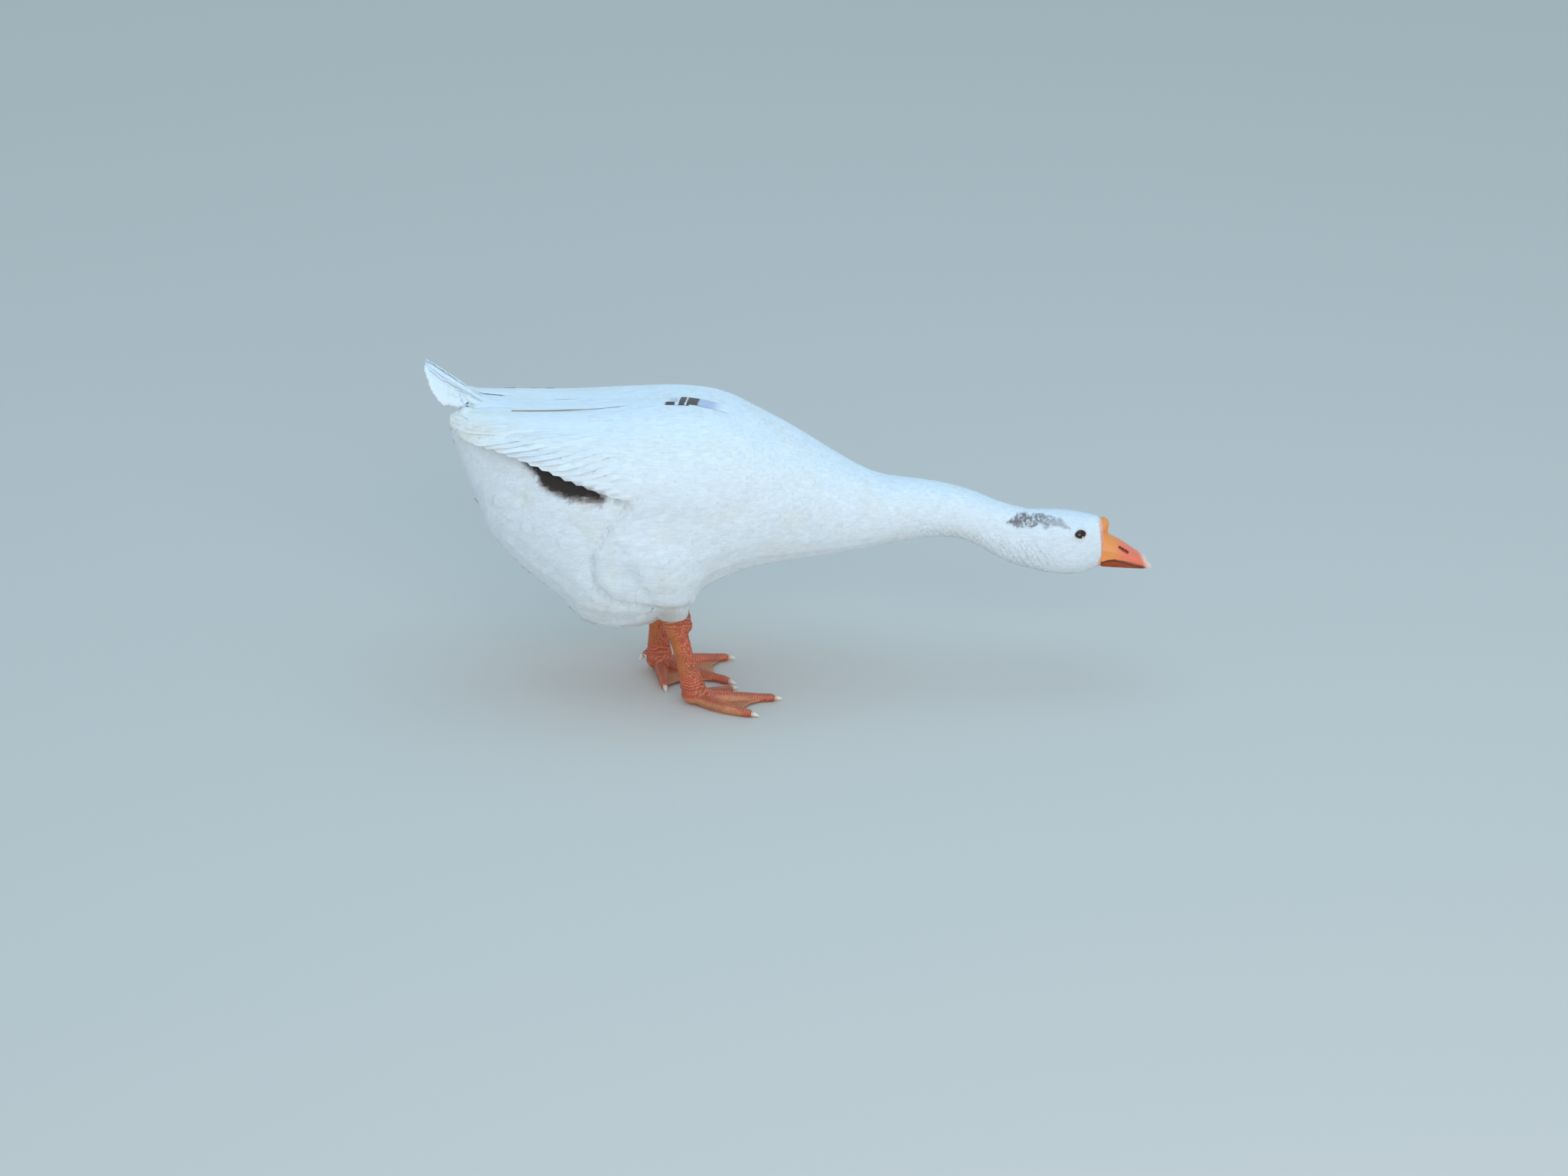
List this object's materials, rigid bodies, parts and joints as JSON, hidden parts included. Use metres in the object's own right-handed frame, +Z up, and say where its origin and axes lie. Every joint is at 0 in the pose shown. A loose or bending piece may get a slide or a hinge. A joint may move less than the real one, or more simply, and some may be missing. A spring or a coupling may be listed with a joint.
{
  "type": "domestic goose",
  "caption": "Life-size standing domestic goose with folded wings, raised tail and a neck stretched low and forward, feet flat on the floor.",
  "frame": {"origin": "on the floor, below the centre of the bounding box", "axes": "+X from the tail towards the bill, +Y to the bird's left, +Z up"},
  "size_m": [0.7672, 0.2122, 0.3709],
  "materials": {
    "plumage": "soft white body feathers, matt, with a dark grey-brown patch on the flank and on the back and a mottled grey-brown patch on the crown",
    "wing_plumage": "smooth white wing and tail feathers with a slight silky sheen, a little cream at the edges",
    "bill_orange": "smooth orange bill skin, satin, a little pinker towards the tip",
    "leg_orange": "scaly reddish orange leg and web skin, satin",
    "claw_horn": "pale horn of the claws and the bill's nail, satin",
    "eye_dark": "wet dark brown eye, glossy"
  },
  "bodies": {
    "root": {"trunk": "plumage", "neck_lower": "plumage", "neck_upper": "plumage", "head": "plumage", "thigh_right": "plumage", "thigh_left": "plumage", "wing_right": "wing_plumage", "wing_left": "wing_plumage", "wing_tip_right": "wing_plumage", "wing_tip_left": "wing_plumage", "tail": "wing_plumage", "bill_upper": "bill_orange", "bill_lower": "bill_orange", "bill_knob": "bill_orange", "bill_nail": "claw_horn", "eye_right": "eye_dark", "eye_left": "eye_dark", "shank_right": "leg_orange", "shank_left": "leg_orange", "foot_right": "leg_orange", "foot_left": "leg_orange", "claw_right_inner": "claw_horn", "claw_right_middle": "claw_horn", "claw_right_outer": "claw_horn", "claw_right_hind": "claw_horn", "claw_left_inner": "claw_horn", "claw_left_middle": "claw_horn", "claw_left_outer": "claw_horn", "claw_left_hind": "claw_horn"}
  },
  "joints": []
}
